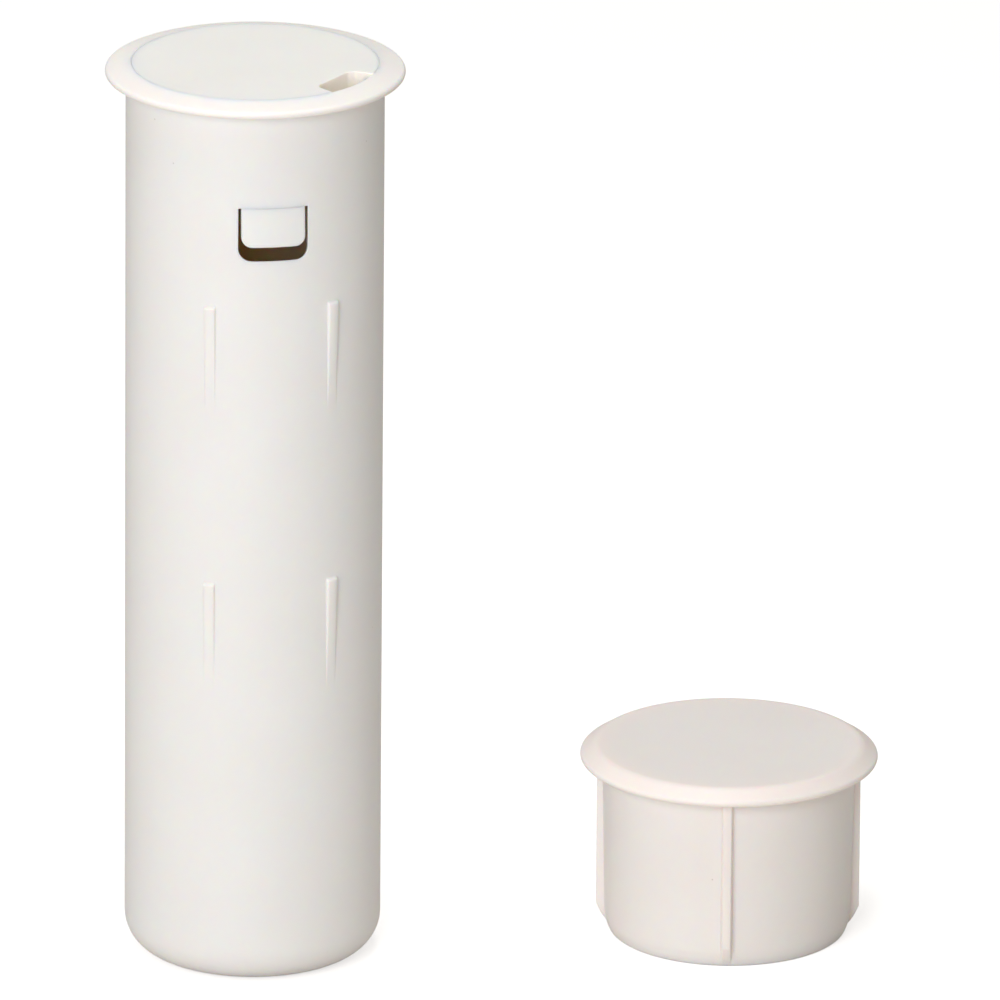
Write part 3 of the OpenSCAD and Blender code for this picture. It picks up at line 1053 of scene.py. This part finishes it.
# ---- Putting the pieces together -------------------------------------------------------------------------

canister_plastic = moulded_plastic("canister_plastic", (0.905, 0.87, 0.865), (0.89, 0.853, 0.846), 0.42)
lid_plastic = moulded_plastic("lid_plastic", (0.905, 0.868, 0.848), (0.89, 0.851, 0.828), 0.42, painted_notch_shade=True)
plug_plastic = moulded_plastic("plug_plastic", (0.925, 0.856, 0.84), (0.91, 0.839, 0.82), 0.45)
cloth = glass_cloth()
tape = webbing("tape_webbing", (0.80, 0.77, 0.69), (0.55, 0.51, 0.43))
thread = sewing_thread()

canister = canister_shell(canister_plastic)
weighted_normals(canister)
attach(canister, "canister")
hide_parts("canister_body")

tongue = tongue_leaf(canister_plastic)
weighted_normals(tongue)
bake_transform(tongue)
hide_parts("spring_tongue")

lid = lid_plate(lid_plastic)
weighted_normals(lid)
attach(lid, "lid")
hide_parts("lid")

blanket = blanket_cloth(cloth)
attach(blanket, "blanket")
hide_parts("blanket_roll")
blanket_pieces = []
for piece, slot in ((blanket_hem(cloth), "glass_cloth"), (hem_stitches(thread), "tape_webbing")):
    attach(piece, "blanket")
    blanket_pieces.append(piece)
for hand, side in (("right", 1), ("left", -1)):
    loop = pull_tape(f"tape_loop_{hand}", side, tape)
    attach(loop, "blanket")
    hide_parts(f"pull_tape_{hand}")
    sewn = tape_stitches(f"tape_stitches_{hand}", side, thread)
    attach(sewn, "blanket")
    blanket_pieces += [loop, sewn]

plug = plug_shell(plug_plastic)
weighted_normals(plug)
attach(plug, "plug")
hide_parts("blanking_plug")


# ---- Floor, light and camera -----------------------------------------------------------------------------

# The floor looks white, but bounces a little less light, and a warmer one, onto the object.
FLOOR_BOUNCE, FLOOR_SEEN, FLOOR_GLOW = (0.72, 0.69, 0.65), 0.75, 0.6


def pale_floor():
    material, nodes, links, shader = new_material("floor")
    seen = nodes.new("ShaderNodeLightPath").outputs["Is Camera Ray"]
    links.new(
        mix_colour(nodes, links, seen, FLOOR_BOUNCE, (FLOOR_SEEN,) * 3),
        shader.inputs["Base Color"],
    )
    shader.inputs["Roughness"].default_value = 0.9
    shader.inputs["Specular IOR Level"].default_value = 0.1
    shader.inputs["Emission Color"].default_value = (1, 1, 1, 1)
    links.new(math_node(nodes, links, "MULTIPLY", seen, FLOOR_GLOW), shader.inputs["Emission Strength"])
    bpy.ops.mesh.primitive_plane_add(size=12, location=(0, 0, 0))
    floor = bpy.context.object
    floor.name = "floor"
    floor.data.materials.append(material)


def from_target(target, azimuth, elevation, distance):
    """The point seen from the target at an azimuth, 0 in front of the window, and an elevation in degrees."""
    a, e = math.radians(azimuth), math.radians(elevation)
    direction = Vector((math.sin(a) * math.cos(e), -math.cos(a) * math.cos(e), math.sin(e)))
    return Vector(target) + direction * distance


def aim(thing, target):
    direction = Vector(target) - thing.location
    thing.rotation_euler = direction.to_track_quat("-Z", "Y").to_euler()


def area_light(name, target, azimuth, elevation, distance, size, watts, colour):
    light = bpy.data.lights.new(name, "AREA")
    light.size = size
    light.energy = watts
    light.color = colour
    thing = bpy.data.objects.new(name, light)
    thing.location = from_target(target, azimuth, elevation, distance)
    bpy.context.scene.collection.objects.link(thing)
    aim(thing, target)


def sky(strength, colour):
    world = bpy.data.worlds.new("studio")
    world.use_nodes = True
    background = world.node_tree.nodes["Background"]
    background.inputs["Color"].default_value = (*colour, 1)
    background.inputs["Strength"].default_value = strength
    bpy.context.scene.world = world


VIEW_AZIMUTH, VIEW_ELEVATION, VIEW_ROLL, VIEW_DISTANCE = -9.2, 19.16, 0.448, 6.213
TARGET = (0.0755, -0.0122, 0.1475)

pale_floor()
sky(0.4, (1.0, 0.975, 0.915))
area_light(
    "key", TARGET, azimuth=-29, elevation=20, distance=2.2, size=1.1, watts=26, colour=(1.0, 0.995, 1.0)
)
area_light(
    "overhead",
    (0, 0, TOP_Z * MM),
    azimuth=0,
    elevation=89,
    distance=0.8,
    size=0.5,
    watts=3.5,
    colour=(1.0, 0.99, 0.97),
)

camera_data = bpy.data.cameras.new("camera")
camera_data.lens = 720
camera_data.sensor_width = 36
camera_data.clip_end = 30
camera = bpy.data.objects.new("camera", camera_data)
camera.location = from_target(TARGET, VIEW_AZIMUTH, VIEW_ELEVATION, VIEW_DISTANCE)
bpy.context.scene.collection.objects.link(camera)
aim(camera, TARGET)
camera.rotation_euler.rotate_axis("Z", math.radians(VIEW_ROLL))
bpy.context.scene.camera = camera
bpy.context.scene.view_settings.view_transform = "Standard"
